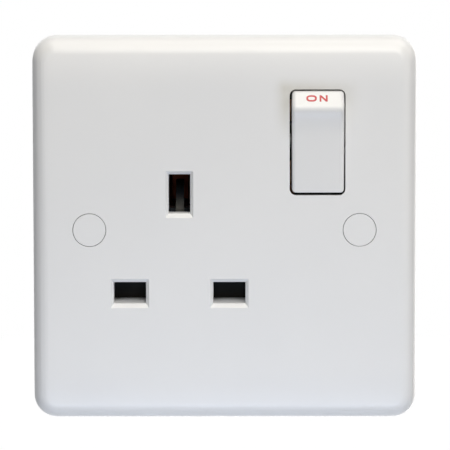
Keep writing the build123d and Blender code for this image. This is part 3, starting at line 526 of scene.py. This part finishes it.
materials = {
    "plate": white_moulding("plate", (0.800, 0.802, 0.800), (0.786, 0.789, 0.789), shadow_caster="rocker"),
    "rocker": white_moulding("rocker", (0.780, 0.784, 0.785), (0.768, 0.773, 0.776)),
    "base": dull_moulding(
        "base", (0.050, 0.022, 0.013), (0.100, 0.046, 0.028), 4.5 * MM, rough=0.48, gloss=0.2, deep=True
    ),
    "shutter": shutter_moulding(
        "shutter", (0.004, 0.004, 0.004), (0.018, 0.022, 0.027), (0.105, 0.102, 0.092), rough=0.55
    ),
    "plunger": dull_moulding("plunger", (0.72, 0.70, 0.63), (0.80, 0.78, 0.72), 2.0 * MM, rough=0.36),
    "steel": plated_steel("steel", (0.70, 0.70, 0.71), (0.55, 0.56, 0.58), rough=0.32),
    "terminal_steel": plated_steel("terminal_steel", (0.74, 0.69, 0.52), (0.58, 0.53, 0.38), rough=0.34),
    "spring_steel": plated_steel("spring_steel", (0.52, 0.52, 0.54), (0.36, 0.36, 0.38), rough=0.30),
    # The bronze is darkened well below its own colour, as painted shade on the contacts deep inside the
    # socket.
    "bronze": rolled_strip(
        "bronze", (0.16, 0.050, 0.028), (0.07, 0.018, 0.010), rough=0.45, stretch=DRAWN_ALONG_Y
    ),
    "copper_strip": rolled_strip(
        "copper_strip", (0.72, 0.40, 0.26), (0.46, 0.22, 0.13), rough=0.30, stretch=DRAWN_ALONG_Z
    ),
    "contact_silver": plated_steel("contact_silver", (0.82, 0.82, 0.80), (0.60, 0.58, 0.54), rough=0.26),
    "brass": rolled_strip(
        "brass", (0.76, 0.59, 0.27), (0.56, 0.39, 0.15), rough=0.30, stretch=DRAWN_ALONG_Z
    ),
}
red_ink = printed_ink("red_ink", (0.50, 0.040, 0.045), (0.54, 0.065, 0.068))


def dress_nodes():
    """Gives every node the finish of its material slot."""
    for part in record["subparts"]:
        mesh = nodes[part["node"]].data
        mesh.materials.clear()
        mesh.materials.append(materials[part["material_slot"]])


def add_piece(name, mesh, body):
    """New piece that moves with a body."""
    piece = bpy.data.objects.new(name, mesh)
    scene.collection.objects.link(piece)
    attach(piece, body)
    return piece


def round_fall(inset, radius):
    """How far a rounded edge has fallen at a distance in from the side."""
    return radius - math.sqrt(radius ** 2 - max(radius - inset, 0) ** 2)


def on_rounded_edge(vert, fall, half_width):
    """Whether a vertex lies on the outer skin of the solid plate's rounded edge."""
    rim = max(abs(vert.co.x), abs(vert.co.z)) > half_width - RIM_WIDTH
    outward = Vector((vert.co.x, 0, vert.co.z)).normalized()
    outer = vert.normal.y < -SKIN_FACING or vert.normal.dot(outward) > SKIN_FACING
    return rim and outer and fall <= SOLID_EDGE_RADIUS + SKIN_TOLERANCE


def shape_plate():
    """Plate with its edge and face as photographed, in place of the solid's plain round and flat face."""
    low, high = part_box("front_plate")
    shape = bmesh.new()
    shape.from_mesh(nodes["front_plate"].data)
    for row in range(BOW_ROWS):
        for side in (-1, 1):
            everything = [*shape.verts, *shape.edges, *shape.faces]
            height = side * (BOW_START + row * BOW_STEP)
            bmesh.ops.bisect_plane(shape, geom=everything, plane_co=(0, 0, height), plane_no=(0, 0, 1))
    shape.normal_update()
    for vert in shape.verts:
        fall = vert.co.y - low.y
        if fall > SKIN_TOLERANCE and not on_rounded_edge(vert, fall, high.x):
            continue
        inset = round_fall(min(max(fall, 0), SOLID_EDGE_RADIUS), SOLID_EDGE_RADIUS)
        bow = BOW_FALL * max(abs(vert.co.z) - BOW_START, 0) ** 2
        vert.co.y = low.y + round_fall(inset, EDGE_RADIUS) + bow
    mesh = bpy.data.meshes.new("moulded_plate")
    shape.to_mesh(mesh)
    shape.free()
    if "custom_normal" in mesh.attributes:
        mesh.attributes.remove(mesh.attributes["custom_normal"])
    mesh.shade_smooth()
    mesh.set_sharp_from_angle(angle=SMOOTH_ANGLE)
    mesh.materials.append(materials["plate"])
    plate = add_piece("moulded_plate", mesh, "housing")
    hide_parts("front_plate")


def facet_plane():
    """Middle, upward slope and normal of the switch's upper facet, its largest face that slants upwards."""
    mesh = nodes["rocker"].data
    slanted = [f for f in mesh.polygons if f.normal.z > FACET_SLANT and f.normal.y < -FACET_SLANT]
    facet = max(slanted, key=lambda f: f.area)
    normal = facet.normal.copy()
    slope = (Vector((0, 0, 1)) - normal * normal.z).normalized()
    level = normal.dot(facet.center)
    flat = [v.co for v in mesh.vertices if abs(normal.dot(v.co) - level) < FACET_TOLERANCE]
    low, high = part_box("rocker")
    heights = [slope.dot(point) for point in flat]
    middle = slope * (min(heights) + max(heights)) / 2 + normal * level
    middle.x = (low.x + high.x) / 2
    return middle, slope, normal


def ring_outline(width, height, squareness, steps):
    """Closed superellipse."""
    points = []
    for step in range(steps):
        turn = 2 * math.pi * step / steps
        across = math.copysign(abs(math.cos(turn)) ** (2 / squareness), math.cos(turn))
        up = math.copysign(abs(math.sin(turn)) ** (2 / squareness), math.sin(turn))
        points.append((width / 2 * across, height / 2 * up))
    return points


def letter_o():
    """Faces of a wide O about its centre: two rings joined by quads."""
    outer = ring_outline(O_WIDTH, LETTER_HEIGHT, O_SQUARENESS, O_STEPS)
    inner = ring_outline(
        O_WIDTH - 2 * LETTER_STROKE, LETTER_HEIGHT - 2 * LETTER_STROKE, O_SQUARENESS, O_STEPS
    )
    faces = []
    for step in range(O_STEPS):
        after = (step + 1) % O_STEPS
        faces.append([outer[step], outer[after], inner[after], inner[step]])
    return faces


def letter_n():
    """Faces of a wide N about its centre: two stems and a diagonal."""
    side = N_WIDTH / 2
    top = LETTER_HEIGHT / 2
    stem = side - LETTER_STROKE
    drop = top - N_DIAGONAL_STROKES * LETTER_STROKE
    left_stem = [(-side, -top), (-stem, -top), (-stem, top), (-side, top)]
    right_stem = [(stem, -top), (side, -top), (side, top), (stem, top)]
    diagonal = [(-stem, drop), (stem, -top), (stem, -drop), (-stem, top)]
    return [left_stem, diagonal, right_stem]


def print_letters():
    """The word ON in red ink on the facet, as thin raised letters."""
    middle, slope, normal = facet_plane()
    across = slope.cross(normal)
    word_width = O_WIDTH + LETTER_GAP + N_WIDTH
    letters = {
        "letter_o": (letter_o(), (O_WIDTH - word_width) / 2),
        "letter_n": (letter_n(), (word_width - N_WIDTH) / 2),
    }
    for name, (faces, shift) in letters.items():
        shape = bmesh.new()
        for face in faces:
            corners = []
            for x, z in face:
                place = middle + across * (x + shift + LETTER_SHIFT) + slope * (z + LETTER_RISE)
                corners.append(shape.verts.new(place - normal * PRINT_SINK))
            shape.faces.new(corners)
        bmesh.ops.remove_doubles(shape, verts=shape.verts, dist=WELD_DISTANCE)
        bmesh.ops.recalc_face_normals(shape, faces=shape.faces)
        raised = bmesh.ops.extrude_face_region(shape, geom=shape.faces[:])
        top = [v for v in raised["geom"] if isinstance(v, bmesh.types.BMVert)]
        bmesh.ops.translate(shape, verts=top, vec=normal * (PRINT_SINK + PRINT_THICKNESS))
        bmesh.ops.recalc_face_normals(shape, faces=shape.faces)
        mesh = bpy.data.meshes.new(name)
        shape.to_mesh(mesh)
        shape.free()
        mesh.materials.append(red_ink)
        add_piece(name, mesh, "rocker")


def thread_radius(turns, crest_radius):
    """Radius of a vee thread with a flat crest and root, at a number of turns along and round it."""
    flank = (1 - THREAD_CREST - THREAD_ROOT) / 2
    phase = abs(turns % 1 - 0.5) - THREAD_ROOT / 2
    rise = min(max(phase / flank, 0), 1)
    return crest_radius - THREAD_DEPTH * (1 - rise)


def add_thread(shape, middle, start, end, crest):
    """Adds a cut helix along Y, about a place on X, with leads at both ends."""
    rows = round((end - start) / THREAD_PITCH * THREAD_ROWS_PER_PITCH)
    rings = []
    for row in range(rows + 1):
        along = start + (end - start) * row / rows
        lead = min(along - start, end - along, THREAD_DEPTH)
        ring = []
        for step in range(THREAD_SEGMENTS):
            turn = step / THREAD_SEGMENTS
            cut = thread_radius(along / THREAD_PITCH + turn, crest)
            radius = min(cut, crest - THREAD_DEPTH + lead)
            angle = 2 * math.pi * turn
            place = (middle + radius * math.cos(angle), along, radius * math.sin(angle))
            ring.append(shape.verts.new(place))
        rings.append(ring)
    for lower, upper in zip(rings, rings[1:]):
        for step in range(THREAD_SEGMENTS):
            after = (step + 1) % THREAD_SEGMENTS
            shape.faces.new((lower[step], lower[after], upper[after], upper[step]))
    shape.faces.new(rings[0])
    shape.faces.new(rings[-1])


def cut_threads():
    """The fixing screws with the solid's heads and shanks, and a real thread in place of the plain one."""
    pattern = next(m for m in record["mounts"] if m["name"] == "wall_fixings")["dims"]
    shape = bmesh.new()
    shape.from_mesh(nodes["fixing_screws"].data)
    end = max(v.co.y for v in shape.verts)
    plain = [v for v in shape.verts if v.co.y > 0]
    start = min(v.co.y for v in plain)
    bmesh.ops.delete(shape, geom=plain, context="VERTS")
    for side in (-1, 1):
        middle = side * pattern["spacing_x_mm"] / 2 * MM
        add_thread(shape, middle, start, end, pattern["stud_r_mm"] * MM)
    bmesh.ops.recalc_face_normals(shape, faces=shape.faces)
    mesh = bpy.data.meshes.new("threaded_screws")
    shape.to_mesh(mesh)
    shape.free()
    mesh.materials.append(materials["steel"])
    screws = add_piece("threaded_screws", mesh, "housing")
    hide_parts("fixing_screws")


add_camera()
add_world()
add_floor()
for name, settings in SOFTBOXES.items():
    add_softbox(name, *settings)
dress_nodes()
shape_plate()
print_letters()
cut_threads()

scene.view_settings.view_transform = "Standard"
